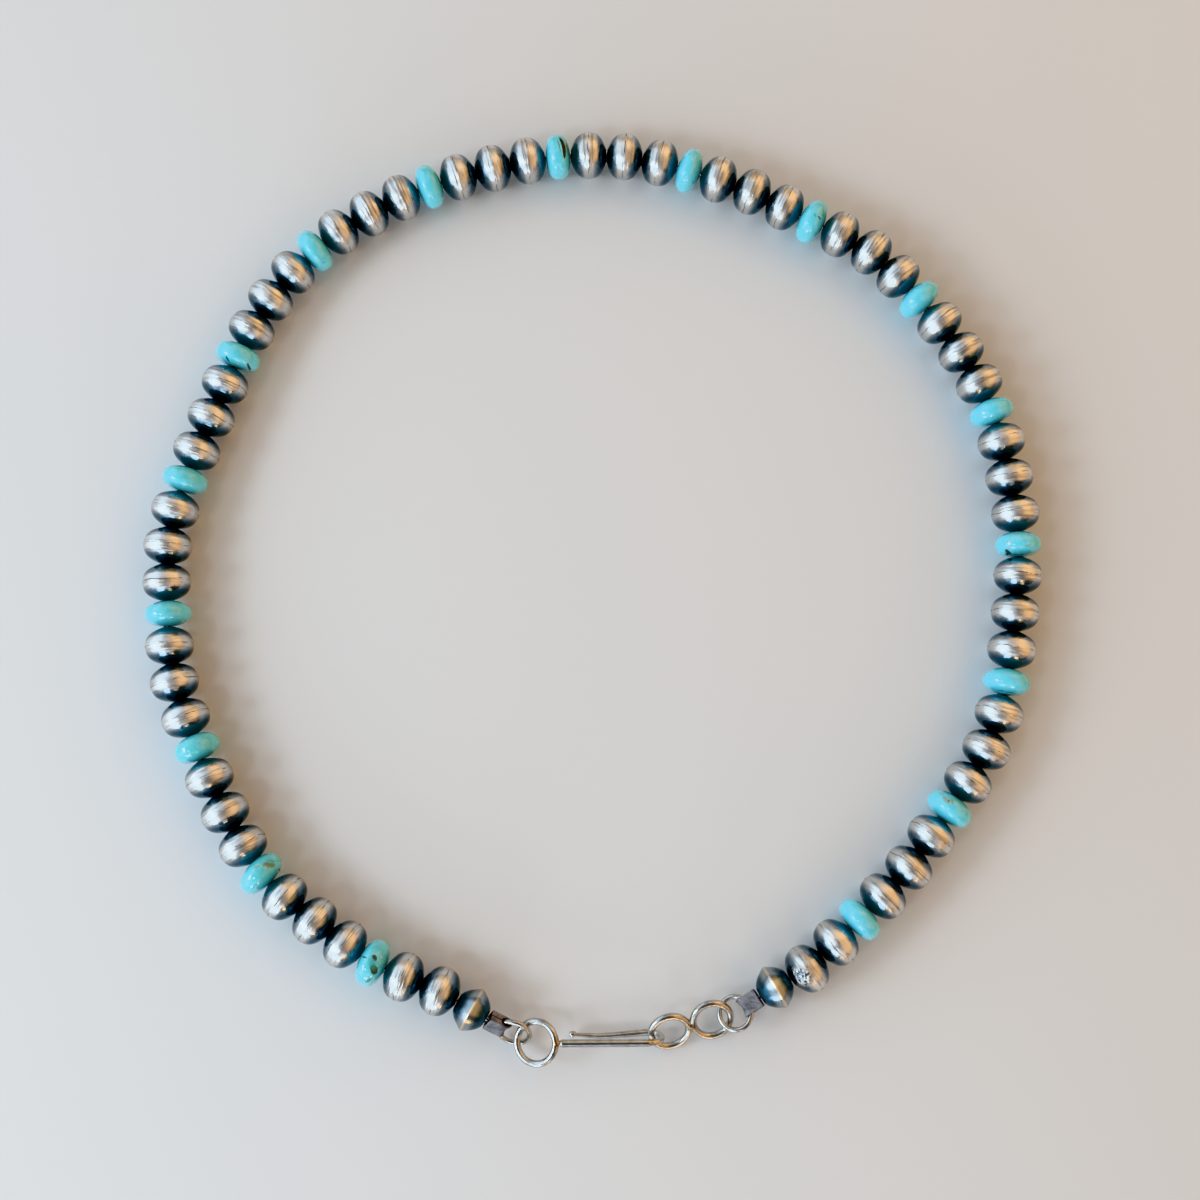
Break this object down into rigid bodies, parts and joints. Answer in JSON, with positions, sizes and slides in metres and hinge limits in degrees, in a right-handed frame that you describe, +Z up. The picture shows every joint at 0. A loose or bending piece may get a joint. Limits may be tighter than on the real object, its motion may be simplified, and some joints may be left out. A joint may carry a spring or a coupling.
{
  "type": "beaded necklace",
  "caption": "Silver bead necklace with turquoise rondelles between groups of oxidised silver beads, closed by a hook and eye clasp, lying as a round loop.",
  "frame": {"origin": "middle of the loop's bounding box, on the table it lies on", "axes": "+X to the wearer's side with the clasp's eye, +Y from the clasp across the loop to the front beads, +Z up from the table"},
  "size_m": [0.1511, 0.1588, 0.0077],
  "materials": {
    "bead_silver": "satin",
    "turquoise": "gloss",
    "clasp_silver": "polished"
  },
  "bodies": {
    "root": {"silver_bead_string_left": "bead_silver", "silver_bead_string_right": "bead_silver", "turquoise_bead_01": "turquoise", "turquoise_bead_02": "turquoise", "turquoise_bead_03": "turquoise", "turquoise_bead_04": "turquoise", "turquoise_bead_05": "turquoise", "turquoise_bead_06": "turquoise", "turquoise_bead_07": "turquoise", "turquoise_bead_08": "turquoise", "turquoise_bead_09": "turquoise", "turquoise_bead_10": "turquoise", "turquoise_bead_11": "turquoise", "turquoise_bead_12": "turquoise", "turquoise_bead_13": "turquoise", "turquoise_bead_14": "turquoise", "turquoise_bead_15": "turquoise", "turquoise_bead_16": "turquoise", "turquoise_bead_17": "turquoise", "end_tab_left": "clasp_silver", "end_tab_right": "clasp_silver", "jump_ring_left": "clasp_silver", "jump_ring_right": "clasp_silver", "clasp_hook": "clasp_silver", "clasp_eye": "clasp_silver"}
  },
  "joints": []
}
